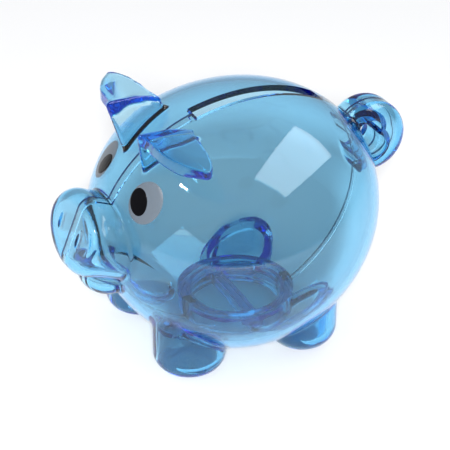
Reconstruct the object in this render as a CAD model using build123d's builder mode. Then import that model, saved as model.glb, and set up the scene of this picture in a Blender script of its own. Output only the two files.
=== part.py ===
"""Translucent plastic piggy bank: two glued half shells, a pull-out belly stopper and printed eyes.

Frame: X to the pig's left, -Y the way it faces, +Z up. The origin is on the floor, under the middle
of the box around the whole pig. Millimetres throughout.
"""
import os
from math import cos, radians, sin

from build123d import *

os.makedirs("parts", exist_ok=True)

# ---- shell ----
wall = 1.8
lip_height = 2.2            # how far the right half's tongue reaches past the seam
lip_thickness = 0.85
lip_clearance = 0.05

# ---- egg-shaped body: four quarter ellipsoids in a frame tilted nose down ----
body_centre = (0, -4.0, 38.3)
body_tilt = 18.0
body_half_width = 45.0
body_front = 39.5
body_rear = 45.0
body_top = 33.0
body_bottom = 39.5
belly_height = 1.2          # the belly is flat this far above the floor

# ---- snout, lower lip ----
snout_face = (0, -51.0, 41.8)
snout_lean = 22.0
snout_half_width = 17.0
snout_half_height = 11.0
snout_depth = 17.0
snout_round = 4.0
nostril_x = 6.4
nostril_half_width = 1.7
nostril_half_height = 3.4
nostril_depth = 0.8
chin_centre = (0, -41.0, 25.2)
chin_size = (11.0, 8.0, 6.8)

# ---- feet ----
front_foot = (17.9, -23.3)
front_foot_radius = 10.4
front_foot_round = 5.0
rear_foot = (20.6, 11.4)
rear_foot_radius = 10.1
rear_foot_round = 6.5
foot_height = 29.0

# ---- tail: a closed curl standing on the seam ----
tail_centre_y = 42.3
tail_centre_z = 52.2
tail_radius = 10.8
tail_half_thickness = 7.0
tail_round = 4.5
tail_hole_y = 40.8
tail_hole_z = 52.4
tail_hole_half_width = 4.6
tail_hole_half_height = 6.0

# ---- ears, left one; the right one mirrors it ----
ear_foot = (6.5, 0, 60.0)
ear_lean = 21.5
ear_plate_thickness = 2.2
ear_plate_outline = ((-30.7, -4.0), (-33.7, 13.2), (-25.8, 13.0), (-17.4, 8.0), (-17.4, -4.0))
blade_corner = (11.2, -33.7, 72.3)
blade_drop = 5.6
blade_thickness = 2.4
blade_front_edge = ((-1.0, 0.0), (11.0, 1.6), (18.6, 4.8), (24.2, 8.6))
blade_rear_edge = ((24.2, 8.6), (19.4, 12.4), (9.0, 13.6), (-1.0, 15.2))

# ---- coin slot ----
slot_width = 6.0
slot_front = -13.5
slot_rear = 25.3

# ---- belly hole, its collar and the stopper ----
hole_y = 0.0
hole_radius = 15.0
collar_radius = 17.6
collar_top = 9.9
mouth_radius = 16.5         # wider mouth that takes the stopper's flange
mouth_top = 2.8
fit_clearance = 0.05
stopper_bottom = 1.5
stopper_top = 9.0
stopper_skirt = 1.2
stopper_floor_bottom = 5.8
stopper_floor_top = 7.2
grip_thickness = 3.0
grip_bottom = 1.9

# ---- printed eyes ----
eye_centre_y = -34.2
eye_centre_z = 53.6
pupil_centre_y = -35.5
pupil_centre_z = 53.6
eye_radius = 6.0
pupil_half_width = 2.7
pupil_half_height = 3.9
ink_thickness = 0.12

body_frame = Location(body_centre, (body_tilt, 0, 0))
snout_plane = Plane(
    origin=snout_face,
    x_dir=(1, 0, 0),
    z_dir=(0, -cos(radians(snout_lean)), sin(radians(snout_lean))),
)
ear_plane = Plane(
    origin=ear_foot,
    x_dir=(0, 1, 0),
    z_dir=(cos(radians(ear_lean)), 0, -sin(radians(ear_lean))),
)
blade_plane = Plane(
    origin=blade_corner,
    x_dir=(cos(radians(blade_drop)), 0, -sin(radians(blade_drop))),
    z_dir=(sin(radians(blade_drop)), 0, cos(radians(blade_drop))),
)


def eighth_ellipsoid(half_width, half_length, half_height):
    """The eighth of an ellipsoid on the +X, +Y and +Z sides of its centre, with its pole on +X."""
    with BuildPart(Plane(origin=(0, 0, 0), x_dir=(0, 1, 0), z_dir=(1, 0, 0))) as eighth:
        Sphere(radius=1, arc_size1=0, arc_size3=90, align=None)
        scale(by=(half_width, half_length, half_height))
    return eighth.part


def half_ellipsoid(half_width, reaches):
    """The +X half of a form with one reach to the rear, top, front and bottom each."""
    with BuildPart() as form:
        for quarter, reach in enumerate(reaches):
            next_reach = reaches[(quarter + 1) % len(reaches)]
            add(eighth_ellipsoid(half_width, reach, next_reach), rotation=(90 * quarter, 0, 0))
    return form.part


def egg(inset):
    """The left half of the body's egg with its flat belly, drawn in by inset."""
    reaches = [reach - inset for reach in (body_rear, body_top, body_front, body_bottom)]
    with BuildPart() as form:
        add(body_frame * half_ellipsoid(body_half_width - inset, reaches))
        split(bisect_by=Plane.XY.offset(belly_height + inset), keep=Keep.TOP)
    return form.part


def snout(inset):
    """The left half of a short oval barrel with a rounded rim, leaning back from the face."""
    with BuildPart() as form:
        with BuildSketch(snout_plane.offset(-inset)):
            Ellipse(snout_half_width - inset, snout_half_height - inset)
        extrude(amount=-snout_depth)
        rim = form.faces().sort_by(Axis((0, 0, 0), snout_plane.z_dir))[-1].edges()
        fillet(rim, snout_round - 0.7 * inset)
        if inset == 0:
            with BuildSketch(snout_plane):
                with Locations((nostril_x, 0)):
                    Ellipse(nostril_half_width, nostril_half_height)
            extrude(amount=-nostril_depth, mode=Mode.SUBTRACT)
        split(bisect_by=Plane.YZ, keep=Keep.TOP)
    return form.part


def chin(inset):
    """The left half of the lower lip, a small rounded swelling under the snout."""
    half_width, half_length, half_height = (size - inset for size in chin_size)
    return Location(chin_centre) * half_ellipsoid(half_width, [half_length, half_height] * 2)


def foot(place, radius, rounding, inset):
    """A short round leg with a rounded, flat-bottomed end."""
    with BuildPart() as form:
        with BuildSketch(Plane.XY.offset(inset)):
            with Locations(place):
                Circle(radius - inset)
        extrude(amount=foot_height - inset)
        fillet(form.faces().sort_by(Axis.Z)[0].edges(), rounding - inset)
    return form.part


def tail(inset):
    """The left half of the curl: a thick round disc with a softened edge and an oval hole through it."""
    half_thickness = tail_half_thickness - inset
    with BuildPart() as form:
        with BuildSketch(Plane.YZ):
            with Locations((tail_centre_y, tail_centre_z)):
                Circle(tail_radius - inset)
        extrude(amount=half_thickness)
        fillet(form.faces().sort_by(Axis.X)[-1].edges(), tail_round - inset / 2)
        with BuildSketch(Plane.YZ):
            with Locations((tail_hole_y, tail_hole_z)):
                Ellipse(tail_hole_half_width + inset, tail_hole_half_height + inset)
        extrude(amount=half_thickness, mode=Mode.SUBTRACT)
    return form.part


def ear():
    """The left ear: an upright plate with a blade folded out from its top edge."""
    with BuildPart() as form:
        with BuildSketch(ear_plane):
            with BuildLine():
                Polyline(*ear_plate_outline, close=True)
            make_face()
        extrude(amount=ear_plate_thickness)
        with BuildSketch(blade_plane):
            with BuildLine():
                Spline(*blade_front_edge)
                Spline(*blade_rear_edge)
                Line(blade_rear_edge[-1], blade_front_edge[0])
            make_face()
        extrude(amount=-blade_thickness)
    return form.part


def pig_form(inset):
    """Every hollow part of the pig's left half as one solid, drawn in by inset on all sides."""
    with BuildPart() as form:
        add(egg(inset))
        add(snout(inset))
        add(chin(inset))
        add(foot(front_foot, front_foot_radius, front_foot_round, inset))
        add(foot(rear_foot, rear_foot_radius, rear_foot_round, inset))
        add(tail(inset))
    return form.part


def upright_cylinder(radius, bottom, top):
    """A cylinder on the belly hole's axis."""
    with BuildPart() as cylinder:
        with BuildSketch(Plane.XY.offset(bottom)):
            with Locations((0, hole_y)):
                Circle(radius)
        extrude(amount=top - bottom)
    return cylinder.part


def slot_block(margin):
    """The block of space that the coin slot takes out of the back, grown sideways by margin."""
    with BuildPart() as block:
        with BuildSketch(Plane.XY.offset(body_centre[2])):
            with Locations((0, (slot_front + slot_rear) / 2)):
                Rectangle(slot_width + 2 * margin, slot_rear - slot_front + 2 * margin)
        extrude(amount=2 * body_top)
    return block.part


def seam_lip(inset, depth):
    """The body wall's inner layer, from inset below its outside, within depth of the seam."""
    with BuildPart() as lip:
        add(egg(inset))
        split(bisect_by=Plane.YZ.offset(depth), keep=Keep.BOTTOM)
        add(cavity, mode=Mode.SUBTRACT)
        add(upright_cylinder(collar_radius + 1, 0, collar_top + 1), mode=Mode.SUBTRACT)
        add(slot_block(1), mode=Mode.SUBTRACT)
    return lip.part


def on_egg(y, z):
    """The point on the left of the egg's front upper quarter at y and z, and the normal there."""
    local = (body_frame.inverse() * Location((0, y, z))).position
    reach = 1 - (local.Y / body_front) ** 2 - (local.Z / body_top) ** 2
    x = body_half_width * reach ** 0.5
    normal = Vector(x / body_half_width ** 2, local.Y / body_front ** 2, local.Z / body_top ** 2)
    turned = normal.rotate(Axis.X, body_tilt)
    return Vector(x, y, z), turned.normalized()


def ink(y, z, half_width, half_height, layer):
    """A printed oval on the egg's left, following its surface, as the given layer above the plastic."""
    centre, normal = on_egg(y, z)
    print_plane = Plane(origin=centre, x_dir=Vector(0, 0, 1).cross(normal), z_dir=normal)
    with BuildPart() as print_layer:
        with BuildSketch(print_plane.offset(-half_height)):
            Ellipse(half_width, half_height)
        extrude(amount=2 * half_height)
        add(egg(-(layer + 1) * ink_thickness), mode=Mode.INTERSECT)
        add(egg(-layer * ink_thickness), mode=Mode.SUBTRACT)
    return print_layer.part


cavity = pig_form(wall)
tongue = seam_lip(wall - lip_thickness, lip_height)
rebate = seam_lip(wall - lip_thickness - lip_clearance, lip_height + lip_clearance)
cavity_round_collar = cavity - upright_cylinder(collar_radius, belly_height, collar_top)

# ---- half of the hollow pig: the left half, with a plain edge along the seam ----
with BuildPart() as half_pig:
    add(pig_form(0))
    add(ear())
    add(upright_cylinder(collar_radius, belly_height, collar_top))
    add(cavity_round_collar, mode=Mode.SUBTRACT)
    add(upright_cylinder(hole_radius, 0, collar_top + 1), mode=Mode.SUBTRACT)
    add(upright_cylinder(mouth_radius, 0, mouth_top), mode=Mode.SUBTRACT)
    add(slot_block(0), mode=Mode.SUBTRACT)
    split(bisect_by=Plane.YZ, keep=Keep.TOP)

# ---- left half shell, rebated along the seam ----
with BuildPart() as left_shell:
    add(half_pig.part)
    add(rebate, mode=Mode.SUBTRACT)
left_shell.part.label = "left_shell"
export_step(left_shell.part, "parts/left_shell.step")

# ---- right half shell, with the tongue that fits the rebate ----
with BuildPart() as right_shell:
    add(half_pig.part)
    mirror(about=Plane.YZ, mode=Mode.REPLACE)
    add(tongue)
right_shell.part.label = "right_shell"
export_step(right_shell.part, "parts/right_shell.step")

# ---- belly stopper: a shallow cup, open downwards, with a grip bar across it ----
with BuildPart() as stopper:
    inner_radius = hole_radius - fit_clearance - stopper_skirt
    add(upright_cylinder(mouth_radius - 2 * fit_clearance, stopper_bottom, mouth_top - fit_clearance))
    add(upright_cylinder(hole_radius - fit_clearance, stopper_bottom, stopper_top))
    add(upright_cylinder(inner_radius, 0, stopper_floor_bottom), mode=Mode.SUBTRACT)
    add(upright_cylinder(inner_radius, stopper_floor_top, stopper_top), mode=Mode.SUBTRACT)
    with BuildSketch(Plane.XY.offset(grip_bottom)):
        with Locations((0, hole_y)):
            Rectangle(2 * inner_radius + stopper_skirt, grip_thickness)
    extrude(amount=stopper_floor_bottom - grip_bottom)
stopper.part.label = "stopper"
export_step(stopper.part, "parts/stopper.step")

# ---- printed eyes: a pale round and a dark oval pupil over it, on each side ----
left_prints = {
    "eye_white": ink(eye_centre_y, eye_centre_z, eye_radius, eye_radius, 0),
    "eye_pupil": ink(pupil_centre_y, pupil_centre_z, pupil_half_width, pupil_half_height, 1),
}
for print_name, left_print in left_prints.items():
    for side, shape in (("left", left_print), ("right", mirror(left_print, about=Plane.YZ))):
        shape.label = f"{side}_{print_name}"
        export_step(shape, f"parts/{shape.label}.step")
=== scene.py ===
"""Looks for the translucent blue piggy bank: hollow half shells, belly stopper and printed eyes.

Shapes are written as distance fields in millimetres in the part's own frame (X to the pig's left, -Y the
way it faces, Z up) and meshed with sharp edges kept, then scaled to metres.
"""
from math import cos, radians, sin

import bpy
import numpy as np
from mathutils import Matrix, Vector


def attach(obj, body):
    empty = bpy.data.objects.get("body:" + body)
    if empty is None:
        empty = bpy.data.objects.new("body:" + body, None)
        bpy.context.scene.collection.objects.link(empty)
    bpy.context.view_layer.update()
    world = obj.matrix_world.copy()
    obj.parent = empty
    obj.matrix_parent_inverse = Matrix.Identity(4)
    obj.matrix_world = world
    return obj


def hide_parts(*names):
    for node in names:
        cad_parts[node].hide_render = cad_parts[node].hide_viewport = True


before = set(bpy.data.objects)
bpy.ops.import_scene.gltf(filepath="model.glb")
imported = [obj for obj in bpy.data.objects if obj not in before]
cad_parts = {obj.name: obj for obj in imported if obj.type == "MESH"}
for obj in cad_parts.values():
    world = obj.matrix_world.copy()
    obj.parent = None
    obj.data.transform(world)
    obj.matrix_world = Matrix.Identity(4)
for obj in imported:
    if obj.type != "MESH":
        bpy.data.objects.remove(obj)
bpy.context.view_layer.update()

# ---- shell sizes, in millimetres ----
WALL = 1.8
SEAM_GAP = 0.1
LIP_HEIGHT = 2.2
LIP_THICKNESS = 0.85
LIP_CLEARANCE = 0.06
LIP_MARGIN = 1.0
BODY_CENTRE = (0.0, -4.0, 38.3)
BODY_TILT = 18.0
BODY_HALF_WIDTH = 45.0
BODY_FRONT, BODY_REAR = 39.5, 45.0
BODY_TOP, BODY_BOTTOM = 33.0, 39.5
BELLY_HEIGHT = 1.2
HEAD_NARROWING = 0.12
NARROWING_BOTTOM = -8.0
SNOUT_CENTRE = (0.0, -51.0, 41.8)
SNOUT_LEAN = 22.0
SNOUT_HALF = (17.0, 11.0)
SNOUT_DEPTH = 17.0
SNOUT_ROUND = 4.0
NOSTRIL_X = 6.4
NOSTRIL_LIFT = 0.6
NOSTRIL_HALF = (2.0, 3.6, 0.95)
CHIN_CENTRE = (0.0, -41.4, 26.4)
CHIN_HALF = (9.4, 7.4, 5.8)
FEET = (
    # x, y, radius, rounding
    (17.9, -23.3, 10.4, 5.0),
    (20.6, 11.4, 10.1, 6.5),
)
FOOT_TOP = 24.0
LEG_WALL = 2.3
LEG_THROAT = (6.6, 9.2)
REAR_THROAT_SHIFT = (-2.6, -2.4)
REAR_RIM_WIDTH = 2.6
REAR_RIM_HEIGHT = 1.3
TAIL_CENTRE = (42.3, 52.2)
TAIL_RADIUS = 10.8
TAIL_HALF_THICKNESS = 7.0
TAIL_ROUND = 4.5
TAIL_HOLES = (
    # y, z and half sizes of two ovals that run together
    (40.0, 56.0, 3.9, 3.0),
    (41.2, 50.5, 4.2, 4.0),
)
LEAST_ROUND = 0.5
SLOT_HALF_WIDTH = 3.0
SLOT_FRONT, SLOT_REAR = -13.5, 25.3
HOLE_RADIUS = 15.0
COLLAR_RADIUS = 17.6
COLLAR_TOP = 9.9
MOUTH_RADIUS = 16.5
MOUTH_TOP = 2.8
UNDER_FLOOR = -5.0

# how softly each form runs into the body, and how much softer that is inside
SNOUT_BLEND, CHIN_BLEND, FOOT_BLEND, TAIL_BLEND, EAR_BLEND = 0.9, 1.5, 1.2, 1.0, 0.8
INNER_BLEND = 1.4

# the left ear: corners of the upright plate, then the blade's outline from front root to rear root
EAR_FRONT_FOOT = np.array((6.5, -30.7, 60.0))
EAR_FRONT_TOP = np.array((11.2, -33.5, 71.3))
EAR_REAR_TOP = np.array((11.5, -25.8, 71.2))
EAR_REAR_FOOT = np.array((10.7, -17.4, 67.4))
EAR_FRONT_ROOT = EAR_FRONT_FOOT + (-0.6, 0.6, -3)
EAR_REAR_ROOT = EAR_REAR_FOOT + (-0.3, 0.0, -3)
EAR_THICKNESS = 2.0
EAR_BLADE_DROP = 4.6
EAR_BLADE_CREST = 1.1
EAR_BLADE_HALF_THICKNESS = 1.1
EAR_RIM_HALF_THICKNESS = 0.9
EAR_RIM_Y, EAR_RIM_WIDTH = -32.0, 2.8
EAR_RIM_BEND = 0.011
EAR_RIM_END, EAR_RIM_FADE = 24.0, 8.0
EAR_CURL, EAR_CURL_START = 0.001, 9.0
EAR_FALL, EAR_FALL_START, EAR_FALL_REACH = 0.022, -27.0, 6.0
EAR_BLADE_ROUND = 0.6
EAR_BLADE = (
    # x, y round the outer edge
    (11.0, -33.6),
    (14.8, -32.8),
    (22.0, -32.0),
    (28.6, -29.2),
    (32.2, -26.7),
    (34.4, -24.9),
    (34.0, -23.5),
    (31.5, -22.1),
    (27.0, -20.9),
    (20.0, -20.1),
    (15.5, -19.8),
    (11.0, -18.2),
)
# the corners of the space that holds the left ear, and the field's value outside it
EAR_SPACE = ((2.0, -40.0, 53.0), (50.0, -12.0, 80.0))
FAR = 30.0

# ---- stopper sizes ----
STOPPER_BOTTOM, STOPPER_TOP = 1.5, 9.0
STOPPER_CLEARANCE = 0.05
STOPPER_BORE = 13.75
WEB_BOTTOM, WEB_TOP = 5.8, 7.2
FLANGE_TOP = 2.7
FLANGE_CLEARANCE = 0.1
BAR_HALF_LENGTH, BAR_HALF_WIDTH = 14.2, 1.5
BAR_BOTTOM, BAR_TOP = 1.9, 6.5
PIP_CENTRE = (11.4, -1.6)
PIP_RADIUS = 2.1
PIP_BOTTOM = 4.4

# ---- eyes: y and z of the middles, half sizes, and height above the shell ----
EYE_CENTRE = (-34.2, 53.6)
EYE_HALF = (6.0, 6.0)
EYE_LIFT = 0.02
PUPIL_CENTRE = (-35.2, 53.1)
PUPIL_HALF = (3.0, 4.1)
PUPIL_TURN = 45.0
PUPIL_LIFT = 0.11
INK_EDGE, INK_MIDDLE = 0.01, 0.08
INK_BEVEL = 0.04
DISC_RINGS, DISC_TURNS = 12, 64

# ---- meshing: cell sizes in millimetres, and shares of a cell ----
SHELL_CELL = 0.42
STOPPER_CELL = 0.3
GRID_SHIFT = 0.37
SLAB = 8
CROSSING_STEPS = 5
SLOPE_STEP = 0.04
CENTRE_PULL = 0.02
OVERHANG = 0.05
SHELL_LOW, SHELL_HIGH = (-1.0, -57.0, -0.6), (46.5, 55.0, 75.5)
STOPPER_LOW, STOPPER_HIGH = (-17.5, -17.5, 1.0), (17.5, 17.5, 9.5)
SHARP_ANGLE = 40.0
INK_SHARP_ANGLE = 60.0
MILLIMETRE = 0.001

# ---- camera and floor, in degrees and metres ----
CAMERA_TARGET = Vector((0.0, -0.0035, 0.0316))
CAMERA_ELEVATION = 30.0
CAMERA_AZIMUTH = 64.53
CAMERA_DISTANCE = 0.4658
CAMERA_LENS = 128.3
FLOOR_REACH = 4.0


# ---- distance fields ----
def union(a, b, blend):
    """The lower of two fields, with a rounded inner corner of about blend."""
    h = np.maximum(blend - np.abs(a - b), 0) / blend
    return np.minimum(a, b) - h * h * blend * 0.25


def ellipsoid(x, y, z, rx, ry, rz):
    near = np.sqrt((x / rx) ** 2 + (y / ry) ** 2 + (z / rz) ** 2)
    steepness = np.sqrt((x / rx ** 2) ** 2 + (y / ry ** 2) ** 2 + (z / rz ** 2) ** 2) + 1e-9
    return near * (near - 1) / steepness


def prism(side, end, rounding):
    """A form with the given side and end distances, whose outer edge is rounded."""
    a, b = side + rounding, end + rounding
    return np.minimum(np.maximum(a, b), 0) + np.hypot(np.maximum(a, 0), np.maximum(b, 0)) - rounding


def cylinder(x, y, z, radius, bottom, top):
    return np.maximum(np.hypot(x, y) - radius, np.maximum(bottom - z, z - top))


def egg(x, y, z, inset=0.0):
    dy, dz = y - BODY_CENTRE[1], z - BODY_CENTRE[2]
    ct, st = cos(radians(BODY_TILT)), sin(radians(BODY_TILT))
    along, up = dy * ct + dz * st, -dy * st + dz * ct
    ry = np.where(along < 0, BODY_FRONT - inset, BODY_REAR - inset)
    rz = np.where(up > 0, BODY_TOP - inset, BODY_BOTTOM - inset)
    # the head narrows towards its crown
    ahead = np.maximum(-along, 0) / BODY_FRONT
    narrow = 1 + HEAD_NARROWING * ahead ** 2 * np.maximum(up, NARROWING_BOTTOM) / BODY_TOP
    return ellipsoid(x * narrow, along, up, BODY_HALF_WIDTH - inset, ry, rz)


def snout_frame(y, z):
    """Distance out of the snout's face, and height up it."""
    ct, st = cos(radians(SNOUT_LEAN)), sin(radians(SNOUT_LEAN))
    dy, dz = y - SNOUT_CENTRE[1], z - SNOUT_CENTRE[2]
    return -dy * ct + dz * st, dy * st + dz * ct


def snout(x, y, z, inset=0.0):
    out, up = snout_frame(y, z)
    side = ellipsoid(x, up, 0, SNOUT_HALF[0] - inset, SNOUT_HALF[1] - inset, 1.0)
    form = prism(side, out + inset, max(SNOUT_ROUND - 0.7 * inset, LEAST_ROUND))
    return np.maximum(form, -(out + SNOUT_DEPTH))


def nostril(x, y, z):
    out, up = snout_frame(y, z)
    return ellipsoid(np.abs(x) - NOSTRIL_X, up, out - NOSTRIL_LIFT, *NOSTRIL_HALF)


def chin(x, y, z, inset=0.0):
    half = [size - inset for size in CHIN_HALF]
    return ellipsoid(x, y - CHIN_CENTRE[1], z - CHIN_CENTRE[2], *half)


def throat_oval(x, y, place):
    """The outline of the hole in the body's wall over a foot, nearer the middle over a rear foot."""
    shift = REAR_THROAT_SHIFT if place[1] > 0 else (0.0, 0.0)
    return ellipsoid(np.abs(x) - place[0] - shift[0], y - place[1] - shift[1], 0, *LEG_THROAT, 1.0)


def foot(x, y, z, place, inset=0.0):
    px, py, radius, rounding = place
    hollow = inset > WALL / 2
    if hollow:
        inset += LEG_WALL - WALL
    reach = np.hypot(np.abs(x) - px, y - py)
    form = prism(reach - (radius - inset), inset - z, max(rounding - inset, LEAST_ROUND))
    if hollow:
        # the hollow leg opens into the body through a narrower hole in the body's wall
        throat = np.maximum(throat_oval(x, y, place), inset - z)
        form = np.minimum(np.maximum(form, -egg(x, y, z)), throat)
    return np.maximum(form, z - FOOT_TOP)


def tail(x, y, z, inset=0.0):
    side = np.hypot(y - TAIL_CENTRE[0], z - TAIL_CENTRE[1]) - (TAIL_RADIUS - inset)
    disc = prism(side, np.abs(x) - (TAIL_HALF_THICKNESS - inset), TAIL_ROUND - 0.5 * inset)
    for hole_y, hole_z, half_width, half_height in TAIL_HOLES:
        hole = ellipsoid(y - hole_y, z - hole_z, 0, half_width + inset, half_height + inset, 1.0)
        disc = np.maximum(disc, -hole)
    return disc


def triangle(points, a, b, c):
    """Distance from each point to the triangle a, b, c."""
    ba, cb, ac = b - a, c - b, a - c
    pa, pb, pc = points - a, points - b, points - c
    normal = np.cross(ba, ac)
    inside = sum(np.sign(p @ np.cross(e, normal)) for p, e in ((pa, ba), (pb, cb), (pc, ac)))

    def to_edge(edge, p):
        along = np.clip(p @ edge / (edge @ edge), 0, 1)[:, None]
        return ((edge * along - p) ** 2).sum(1)

    edges = np.minimum(np.minimum(to_edge(ba, pa), to_edge(cb, pb)), to_edge(ac, pc))
    return np.sqrt(np.where(inside < 2, edges, (pa @ normal) ** 2 / (normal @ normal)))


def smooth_path(corners, steps):
    """A curve through the corners, as points."""
    corners = np.array(corners)
    before, beyond = 2 * corners[:1] - corners[1:2], 2 * corners[-1:] - corners[-2:-1]
    padded = np.concatenate([before, corners, beyond])
    path = []
    for a, b, c, d in zip(padded, padded[1:], padded[2:], padded[3:]):
        for t in np.arange(steps) / steps:
            bend = 2 * a - 5 * b + 4 * c - d + t * (3 * b - a - 3 * c + d)
            path.append(b + 0.5 * t * (c - a + t * bend))
    return np.array([*path, corners[-1]])


def outline(x, y, path):
    """Distance from points to a closed outline, negative inside."""
    nearest = np.full(x.shape, 1e6)
    odd = np.zeros(x.shape, bool)
    for (ax, ay), (bx, by) in zip(path, np.roll(path, -1, axis=0)):
        ex, ey, px, py = bx - ax, by - ay, x - ax, y - ay
        t = np.clip((px * ex + py * ey) / (ex * ex + ey * ey), 0, 1)
        nearest = np.minimum(nearest, (px - ex * t) ** 2 + (py - ey * t) ** 2)
        if ey != 0:
            odd ^= ((ay > y) != (by > y)) & (px < ex * (y - ay) / ey)
    return np.where(odd, -1, 1) * np.sqrt(nearest)


EAR_EDGE = smooth_path(EAR_BLADE, 4)


def ear_plate(points):
    """Distance to the upright plate's middle surface, whose foot is sunk into the body's wall."""
    plate = triangle(points, EAR_FRONT_ROOT, EAR_FRONT_TOP, EAR_REAR_TOP)
    plate = np.minimum(plate, triangle(points, EAR_FRONT_ROOT, EAR_REAR_TOP, EAR_REAR_FOOT))
    return np.minimum(plate, triangle(points, EAR_FRONT_ROOT, EAR_REAR_FOOT, EAR_REAR_ROOT))


def ear_blade(x, y, z):
    out = x - EAR_FRONT_TOP[0]
    tilt = radians(EAR_BLADE_DROP)
    curl = EAR_CURL * np.maximum(out - EAR_CURL_START, 0) ** 2
    rise = (z - EAR_FRONT_TOP[2]) * cos(tilt) + out * sin(tilt) + curl
    # the blade slopes down to its rear root, and its front rim is thick
    fall = EAR_FALL * np.maximum(y - EAR_FALL_START, 0) ** 2
    rise += fall * np.exp(-np.maximum(out, 0) / EAR_FALL_REACH)
    rim = np.exp(-((y - EAR_RIM_Y - EAR_RIM_BEND * out ** 2) / EAR_RIM_WIDTH) ** 2)
    fade = np.clip((EAR_RIM_END - out) / EAR_RIM_FADE, 0, 1)
    thick = EAR_BLADE_HALF_THICKNESS + EAR_RIM_HALF_THICKNESS * rim * fade
    level = np.abs(rise + thick - EAR_BLADE_CREST) - thick
    return prism(outline(x, y, EAR_EDGE), level, EAR_BLADE_ROUND)


def ear(x, y, z):
    """The ear: an upright plate, with a blade folded outwards from its top edge."""
    field = np.full(x.size, FAR)
    points = np.stack([np.abs(x).ravel(), y.ravel(), z.ravel()], 1).astype(float)
    close = (points > EAR_SPACE[0]).all(1) & (points < EAR_SPACE[1]).all(1)
    points = points[close]
    if len(points):
        field[close] = union(ear_plate(points) - EAR_THICKNESS / 2, ear_blade(*points.T), 1.0)
    return field.reshape(x.shape)


def pig_form(x, y, z, inset=0.0):
    """The whole closed pig without its ears, drawn in by inset."""
    grow = 1.0 if inset == 0 else INNER_BLEND
    field = np.maximum(egg(x, y, z, inset), BELLY_HEIGHT + inset - z)
    field = union(field, snout(x, y, z, inset), SNOUT_BLEND * grow)
    field = union(field, chin(x, y, z, inset), CHIN_BLEND * grow)
    for place in FEET:
        field = union(field, foot(x, y, z, place, inset), FOOT_BLEND * grow)
    return union(field, tail(x, y, z, inset), TAIL_BLEND * grow)


def slot(x, y, z, margin=0.0):
    reach = np.maximum(SLOT_FRONT - y, y - SLOT_REAR)
    return np.maximum(np.maximum(np.abs(x) - SLOT_HALF_WIDTH, reach) - margin, BODY_CENTRE[2] - z)


def rear_rims(x, y, z):
    """The raised rims round the rear legs' holes, inside the body."""
    half = REAR_RIM_WIDTH / 2
    ring = np.abs(throat_oval(x, y, FEET[1]) - half) - half
    rim = np.maximum(ring, -egg(x, y, z, WALL + REAR_RIM_HEIGHT))
    return np.maximum(rim, z - BODY_CENTRE[2])


def hollow_pig(x, y, z):
    """Both halves of the shell together, before they are parted."""
    outside = union(pig_form(x, y, z), ear(x, y, z), EAR_BLEND)
    outside = np.minimum(outside, cylinder(x, y, z, COLLAR_RADIUS, BELLY_HEIGHT, COLLAR_TOP))
    outside = np.maximum(outside, -nostril(x, y, z))
    collar = cylinder(x, y, z, COLLAR_RADIUS, UNDER_FLOOR, COLLAR_TOP)
    room = np.maximum(pig_form(x, y, z, WALL), -collar)
    room = np.maximum(room, -rear_rims(x, y, z))
    field = np.maximum(outside, -room)
    field = np.maximum(field, -cylinder(x, y, z, HOLE_RADIUS, UNDER_FLOOR, COLLAR_TOP + 1))
    field = np.maximum(field, -cylinder(x, y, z, MOUTH_RADIUS, UNDER_FLOOR, MOUTH_TOP))
    return np.maximum(field, -slot(x, y, z))


def lap(x, y, z, clearance):
    """The seam's lap, which reaches across the middle in the wall's inner layer."""
    layer = pig_form(x, y, z, WALL - LIP_THICKNESS - clearance)
    collar = cylinder(x, y, z, COLLAR_RADIUS + LIP_MARGIN, UNDER_FLOOR, COLLAR_TOP + LIP_MARGIN)
    field = np.maximum(np.maximum(layer, x - LIP_HEIGHT - clearance), -collar)
    return np.maximum(field, -slot(x, y, z, LIP_MARGIN))


def left_half(x, y, z):
    field = np.maximum(hollow_pig(x, y, z), SEAM_GAP - x)
    return np.maximum(field, -lap(x, y, z, LIP_CLEARANCE))


def right_half(x, y, z):
    return np.maximum(hollow_pig(x, y, z), np.minimum(x + SEAM_GAP, lap(x, y, z, 0.0)))


def plug(x, y, z):
    """The stopper: a shallow cup open downwards, with a flange and a grip bar."""
    cup = cylinder(x, y, z, HOLE_RADIUS - STOPPER_CLEARANCE, STOPPER_BOTTOM, STOPPER_TOP)
    cup = np.maximum(cup, -cylinder(x, y, z, STOPPER_BORE, WEB_TOP, STOPPER_TOP + 1))
    flange = cylinder(x, y, z, MOUTH_RADIUS - FLANGE_CLEARANCE, STOPPER_BOTTOM, FLANGE_TOP)
    cup = np.maximum(np.minimum(cup, flange), -cylinder(x, y, z, STOPPER_BORE, UNDER_FLOOR, WEB_BOTTOM))
    section = np.maximum(np.abs(y) - BAR_HALF_WIDTH, np.maximum(BAR_BOTTOM - z, z - BAR_TOP))
    bar = np.maximum(np.abs(x) - BAR_HALF_LENGTH, section)
    pip = cylinder(x - PIP_CENTRE[0], y - PIP_CENTRE[1], z, PIP_RADIUS, PIP_BOTTOM, BAR_TOP)
    return union(cup, union(bar, pip, 0.4), 0.5)


# ---- meshing: one vertex in each cell the surface crosses, placed on the planes that meet there ----
def slope(field, points, step):
    """Unit outward direction of the field at each point."""
    grad = np.zeros_like(points)
    for signs in ((1, -1, -1), (-1, -1, 1), (-1, 1, -1), (1, 1, 1)):
        moved = points + np.array(signs) * step
        grad += np.array(signs) * field(*moved.T)[:, None]
    return grad / (np.linalg.norm(grad, axis=1)[:, None] + 1e-12)


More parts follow.
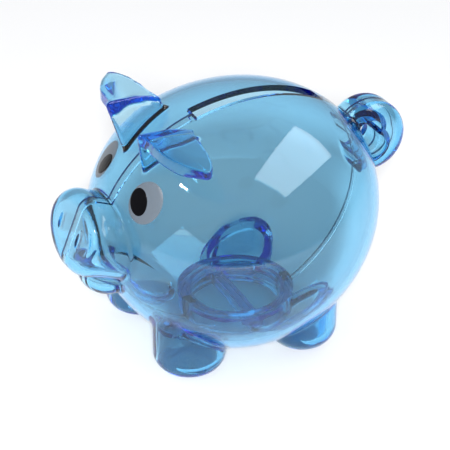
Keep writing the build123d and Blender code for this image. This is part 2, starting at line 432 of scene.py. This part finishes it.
def crossings(field, values, nodes, axis, origin, cell):
    """Where the field is zero on the grid edges that leave the nodes along the axis."""
    ahead = nodes.copy()
    ahead[:, axis] += 1
    first = values[tuple(nodes.T)].astype(float)
    last = values[tuple(ahead.T)].astype(float)
    start = origin + nodes * cell
    end = start.copy()
    end[:, axis] += cell
    for _ in range(CROSSING_STEPS):
        share = np.clip(first / (first - last), 0.02, 0.98)[:, None]
        middle = start + (end - start) * share
        level = field(*middle.T)
        same = (level < 0) == (first < 0)
        start[same], first[same] = middle[same], level[same]
        end[~same], last[~same] = middle[~same], level[~same]
    share = (first / (first - last + 1e-12))[:, None]
    return start + (end - start) * np.clip(share, 0, 1)


def cells_around(nodes, axis, strides):
    """The numbers of the four cells round each grid edge that leaves the nodes along the axis."""
    u, v = (axis + 1) % 3, (axis + 2) % 3
    around = []
    for du, dv in ((0, 0), (-1, 0), (-1, -1), (0, -1)):
        corner = nodes.copy()
        corner[:, u] += du
        corner[:, v] += dv
        around.append(corner @ strides)
    return np.stack(around, 1)


def meeting_points(points, normals, index, corners, cell):
    """A vertex for each cell, nearest to the planes through the crossings on its edges."""
    count = np.bincount(index).astype(float)

    def total(weights):
        return np.bincount(index, weights=weights)

    centre = np.stack([total(points[:, i]) / count for i in range(3)], 1)
    offset = (normals * (points - centre[index])).sum(1)
    matrix = np.zeros((len(corners), 3, 3))
    target = np.zeros((len(corners), 3))
    for i in range(3):
        target[:, i] = total(normals[:, i] * offset)
        for j in range(3):
            matrix[:, i, j] = total(normals[:, i] * normals[:, j])
    matrix += np.eye(3) * (CENTRE_PULL * count[:, None, None])
    moved = centre + np.linalg.solve(matrix, target[:, :, None])[:, :, 0]
    return np.clip(moved, corners - OVERHANG * cell, corners + (1 + OVERHANG) * cell)


def contour(field, low, high, cell):
    """The zero surface of the field between two corners, as vertices and four-sided faces."""
    axes = [np.arange(lo - cell * GRID_SHIFT, hi + cell, cell) for lo, hi in zip(low, high)]
    shape = [len(axis) for axis in axes]
    values = np.empty(shape, np.float32)
    for start in range(0, shape[0], SLAB):
        x, y, z = np.meshgrid(axes[0][start:start + SLAB], axes[1], axes[2], indexing="ij")
        values[start:start + SLAB] = field(x, y, z)
    inside = values < 0
    strides = np.array([shape[1] * shape[2], shape[2], 1])
    origin = np.array([axis[0] for axis in axes])
    points, around, outward = [], [], []
    for axis in range(3):
        here = [slice(None)] * 3
        there = [slice(None)] * 3
        here[axis], there[axis] = slice(None, -1), slice(1, None)
        a, b = inside[tuple(here)], inside[tuple(there)]
        nodes = np.argwhere(a != b)
        points.append(crossings(field, values, nodes, axis, origin, cell))
        around.append(cells_around(nodes, axis, strides))
        outward.append(a[tuple(nodes.T)])
    points, around, outward = (np.concatenate(parts) for parts in (points, around, outward))
    normals = slope(field, points, cell * SLOPE_STEP)
    cells, index = np.unique(around.ravel(), return_inverse=True)
    corners = origin + np.stack(np.unravel_index(cells, shape), 1) * cell
    vertices = meeting_points(points.repeat(4, axis=0), normals.repeat(4, axis=0), index, corners, cell)
    faces = np.where(outward[:, None], around, around[:, ::-1])
    return vertices, np.searchsorted(cells, faces)


def build(name, vertices, faces, material, sharp=SHARP_ANGLE):
    """A smooth-shaded piece with its sharp edges marked."""
    mesh = bpy.data.meshes.new(name)
    mesh.vertices.add(len(vertices))
    mesh.vertices.foreach_set("co", (np.asarray(vertices) * MILLIMETRE).ravel())
    mesh.loops.add(faces.size)
    mesh.loops.foreach_set("vertex_index", faces.ravel())
    mesh.polygons.add(len(faces))
    mesh.polygons.foreach_set("loop_start", np.arange(0, faces.size, faces.shape[1]))
    mesh.polygons.foreach_set("loop_total", np.full(len(faces), faces.shape[1]))
    mesh.update(calc_edges=True)
    mesh.validate()
    mesh.polygons.foreach_set("use_smooth", np.ones(len(mesh.polygons), bool))
    mesh.set_sharp_from_angle(angle=radians(sharp))
    mesh.materials.append(material)
    piece = bpy.data.objects.new(name, mesh)
    bpy.context.collection.objects.link(piece)
    return piece


def darken_seam_faces(shell, material):
    """Gives the faces that meet along the seam their own, darker material."""
    mesh = shell.data
    mesh.materials.append(material)
    centres = np.empty(3 * len(mesh.polygons))
    normals = np.empty(3 * len(mesh.polygons))
    mesh.polygons.foreach_get("center", centres)
    mesh.polygons.foreach_get("normal", normals)
    on_seam = (np.abs(centres[::3]) < (SEAM_GAP + 0.03) * MILLIMETRE) & (np.abs(normals[::3]) > 0.9)
    mesh.polygons.foreach_set("material_index", on_seam.astype(np.int32))


# ---- materials ----
def noise(nodes, links, scale, detail):
    """A noise in the object's own coordinates."""
    coordinates = nodes.new("ShaderNodeTexCoord")
    texture = nodes.new("ShaderNodeTexNoise")
    texture.inputs["Scale"].default_value = scale
    texture.inputs["Detail"].default_value = detail
    links.new(coordinates.outputs["Object"], texture.inputs["Vector"])
    return texture.outputs["Fac"]


def surface(name, dark, pale, rough, bump, scale):
    """A Principled material with varied colour and roughness and a fine bump."""
    material = bpy.data.materials.new(name)
    material.use_nodes = True
    nodes, links = material.node_tree.nodes, material.node_tree.links
    shader = nodes["Principled BSDF"]
    tint = nodes.new("ShaderNodeMix")
    tint.data_type = "RGBA"
    tint.inputs["A"].default_value = (*dark, 1)
    tint.inputs["B"].default_value = (*pale, 1)
    links.new(noise(nodes, links, scale, 3.0), tint.inputs["Factor"])
    links.new(tint.outputs["Result"], shader.inputs["Base Color"])
    spread = nodes.new("ShaderNodeMapRange")
    spread.inputs["To Min"].default_value = rough[0]
    spread.inputs["To Max"].default_value = rough[1]
    links.new(noise(nodes, links, scale * 2.3, 4.0), spread.inputs["Value"])
    links.new(spread.outputs["Result"], shader.inputs["Roughness"])
    relief = nodes.new("ShaderNodeBump")
    relief.inputs["Strength"].default_value = bump
    relief.inputs["Distance"].default_value = MILLIMETRE
    links.new(noise(nodes, links, scale * 0.9, 2.0), relief.inputs["Height"])
    links.new(relief.outputs["Normal"], shader.inputs["Normal"])
    return material


def clear_plastic(name, colour, density):
    """Clear plastic, coloured by how much of it the light crosses."""
    material = surface(name, (0.95, 0.97, 0.99), (1.0, 1.0, 1.0), (0.0, 0.04), 0.03, 60.0)
    nodes, links = material.node_tree.nodes, material.node_tree.links
    shader = nodes["Principled BSDF"]
    shader.inputs["Transmission Weight"].default_value = 1.0
    shader.inputs["IOR"].default_value = 1.5
    absorption = nodes.new("ShaderNodeVolumeAbsorption")
    absorption.inputs["Color"].default_value = (*colour, 1)
    absorption.inputs["Density"].default_value = density
    links.new(absorption.outputs["Volume"], nodes["Material Output"].inputs["Volume"])
    return material


shell_plastic = clear_plastic("blue_plastic", (0.0, 0.70, 0.945), 325.0)
# the stopper's plastic is a bluer, denser copy of the shell's: painted light, standing in for the blue
# light that reaches it through the shell
stopper_plastic = clear_plastic("blue_plastic_stopper", (0.0, 0.73, 0.955), 430.0)
# an opaque dark blue for the faces in the seam's gap, which draws the seam as a dark line
dark_seam_material = surface("dark_seam", (0.012, 0.04, 0.17), (0.02, 0.07, 0.26), (0.3, 0.5), 0.05, 400.0)
pale_ink = surface("pale_ink", (0.10, 0.125, 0.155), (0.12, 0.145, 0.175), (0.25, 0.4), 0.05, 900.0)
black_ink = surface("black_ink", (0.001, 0.001, 0.002), (0.003, 0.003, 0.004), (0.12, 0.2), 0.04, 900.0)
black_ink.node_tree.nodes["Principled BSDF"].inputs["Specular IOR Level"].default_value = 0.08
pale_floor = surface("pale_floor", (0.93, 0.935, 0.94), (0.96, 0.96, 0.965), (0.6, 0.75), 0.02, 8.0)

# ---- shells and stopper ----
left_shell = build(
    "left_half_shell", *contour(left_half, SHELL_LOW, SHELL_HIGH, SHELL_CELL), shell_plastic)
# the right half reaches a little over the middle with its lap
right_low, right_high = (-SHELL_HIGH[0], *SHELL_LOW[1:]), (LIP_HEIGHT + LIP_MARGIN, *SHELL_HIGH[1:])
right_shell = build(
    "right_half_shell", *contour(right_half, right_low, right_high, SHELL_CELL), shell_plastic)
for half in (left_shell, right_shell):
    darken_seam_faces(half, dark_seam_material)
stopper = build(
    "belly_stopper", *contour(plug, STOPPER_LOW, STOPPER_HIGH, STOPPER_CELL), stopper_plastic)


# ---- printed eyes, laid on the shell's surface ----
def on_egg(y, z):
    """The point of the egg's left side with the given y and z, and the direction out there."""
    point = np.array([[BODY_HALF_WIDTH * 2 / 3, y, z]])
    step = np.array([[0.01, 0, 0]])
    for _ in range(12):
        here = egg(*point.T)
        point[:, 0] -= here / ((egg(*(point + step).T) - here) / step[0, 0])
    return point[0], slope(egg, point, 0.02)[0]


def disc_faces(flipped):
    """Triangles of a disc's upper side, lower side and rim, whose points are a middle and then rings."""
    total = 1 + DISC_RINGS * DISC_TURNS
    triangles = []

    def add(three, turned):
        triangles.append(three[::-1] if turned else three)

    for base, turned in ((0, flipped), (total, not flipped)):
        for here in range(DISC_TURNS):
            after = (here + 1) % DISC_TURNS
            add((base, base + 1 + here, base + 1 + after), turned)
            for ring in range(1, DISC_RINGS):
                inner, outer = base + 1 + (ring - 1) * DISC_TURNS, base + 1 + ring * DISC_TURNS
                add((inner + here, outer + here, outer + after), turned)
                add((inner + here, outer + after, inner + after), turned)
    rim = 1 + (DISC_RINGS - 1) * DISC_TURNS
    for here in range(DISC_TURNS):
        after = (here + 1) % DISC_TURNS
        add((rim + here, total + rim + here, total + rim + after), flipped)
        add((rim + here, total + rim + after, rim + after), flipped)
    return np.array(triangles)


def print_disc(name, centre, half, turn, side, lift, material):
    """A thin oval of ink that follows the shell, turned by turn degrees, lift millimetres above it."""
    middle, out = on_egg(*centre)
    across = np.cross((0, 0, 1), out)
    across /= np.linalg.norm(across)
    up = np.cross(out, across)
    ct, st = cos(radians(turn)), sin(radians(turn))
    across, up = across * ct + up * st, up * ct - across * st
    spread = [(0.0, 0.0)]
    for ring in range(1, DISC_RINGS + 1):
        for angle in 2 * np.pi * np.arange(DISC_TURNS) / DISC_TURNS:
            spread.append((ring / DISC_RINGS * cos(angle), ring / DISC_RINGS * sin(angle)))
    spread = np.array(spread)
    points = middle + np.outer(spread[:, 0] * half[0], across) + np.outer(spread[:, 1] * half[1], up)
    for _ in range(6):
        level = egg(*points.T)
        points -= slope(egg, points, 0.02) * level[:, None]
    out = slope(egg, points, 0.02)
    edge = np.clip((1 - np.hypot(*spread.T)) / INK_BEVEL, 0, 1)
    upper = points + out * (lift + INK_EDGE + (INK_MIDDLE - INK_EDGE) * edge)[:, None]
    lower = points + out * lift
    vertices = np.concatenate([upper, lower]) * np.array((side, 1, 1))
    return build(name, vertices, disc_faces(side < 0), material, INK_SHARP_ANGLE)


eyes = []
for side, word in ((1, "left"), (-1, "right")):
    white = print_disc(
        f"{word}_eye_print", EYE_CENTRE, EYE_HALF, 0.0, side, EYE_LIFT, pale_ink)
    pupil = print_disc(
        f"{word}_pupil_print", PUPIL_CENTRE, PUPIL_HALF, PUPIL_TURN, side, PUPIL_LIFT, black_ink)
    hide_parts(f"{word}_eye_white")
    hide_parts(f"{word}_eye_pupil")
    eyes += [white, pupil]

for piece in (left_shell, right_shell, *eyes):
    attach(piece, "bank")
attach(stopper, "stopper")
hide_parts("left_shell")
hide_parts("right_shell")
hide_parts("stopper")

# ---- floor ----
floor_mesh = bpy.data.meshes.new("floor")
corners = [(-FLOOR_REACH, -FLOOR_REACH, 0), (FLOOR_REACH, -FLOOR_REACH, 0),
           (FLOOR_REACH, FLOOR_REACH, 0), (-FLOOR_REACH, FLOOR_REACH, 0)]
floor_mesh.from_pydata(corners, [], [(0, 1, 2, 3)])
floor_mesh.materials.append(pale_floor)
floor = bpy.data.objects.new("floor", floor_mesh)
bpy.context.collection.objects.link(floor)

# ---- camera ----
elevation, azimuth = radians(CAMERA_ELEVATION), radians(CAMERA_AZIMUTH)
back = Vector((cos(elevation) * sin(azimuth), -cos(elevation) * cos(azimuth), sin(elevation)))
camera_data = bpy.data.cameras.new("camera")
camera_data.lens = CAMERA_LENS
camera_data.sensor_width = 36.0
camera_data.clip_start = 0.01
camera = bpy.data.objects.new("camera", camera_data)
camera.location = CAMERA_TARGET + back * CAMERA_DISTANCE
camera.rotation_euler = (-back).to_track_quat("-Z", "Y").to_euler()
bpy.context.collection.objects.link(camera)
scene = bpy.context.scene
scene.camera = camera
scene.view_settings.view_transform = "Standard"
# light crosses many walls of clear plastic
scene.cycles.max_bounces = 32
scene.cycles.glossy_bounces = 16
scene.cycles.transmission_bounces = 24

# ---- light ----
world = bpy.data.worlds.new("studio")
scene.world = world
world.use_nodes = True
world.node_tree.nodes["Background"].inputs["Color"].default_value = (0.97, 0.98, 1.0, 1)
world.node_tree.nodes["Background"].inputs["Strength"].default_value = 0.55


def lamp(name, place, aim, up, size, power, shape, reflected):
    """An area lamp facing aim, with its height turned towards up: it shows in the gloss, or it lights."""
    data = bpy.data.lights.new(name, "AREA")
    data.shape = shape
    data.size, data.size_y = size
    data.energy = power
    light = bpy.data.objects.new(name, data)
    away = (Vector(place) - Vector(aim)).normalized()
    side = Vector(up).cross(away).normalized()
    turn = Matrix((side, away.cross(side), away)).transposed()
    light.matrix_world = Matrix.Translation(place) @ turn.to_4x4()
    light.visible_glossy = light.visible_transmission = reflected
    light.visible_diffuse = not reflected
    bpy.context.collection.objects.link(light)


# a wide softbox above the pig's left rear, a small lamp over its head, and a soft front light by the camera
pig_middle = Vector((0.02, 0.0, 0.05))
lamp(
    "softbox", pig_middle + Vector((0.09, 0.47, 0.88)), pig_middle, up=(0.675, -0.68, 0.284),
    size=(0.52, 0.93), power=5.8, shape="RECTANGLE", reflected=True)
lamp(
    "glint", (-0.158, -0.641, 0.827), pig_middle, up=(0, 1, 0),
    size=(0.12, 0.07), power=2.4, shape="RECTANGLE", reflected=True)
lamp(
    "front", CAMERA_TARGET + back * 1.5, CAMERA_TARGET, up=(0, 0, 1),
    size=(0.30, 0.30), power=33.0, shape="DISK", reflected=False)
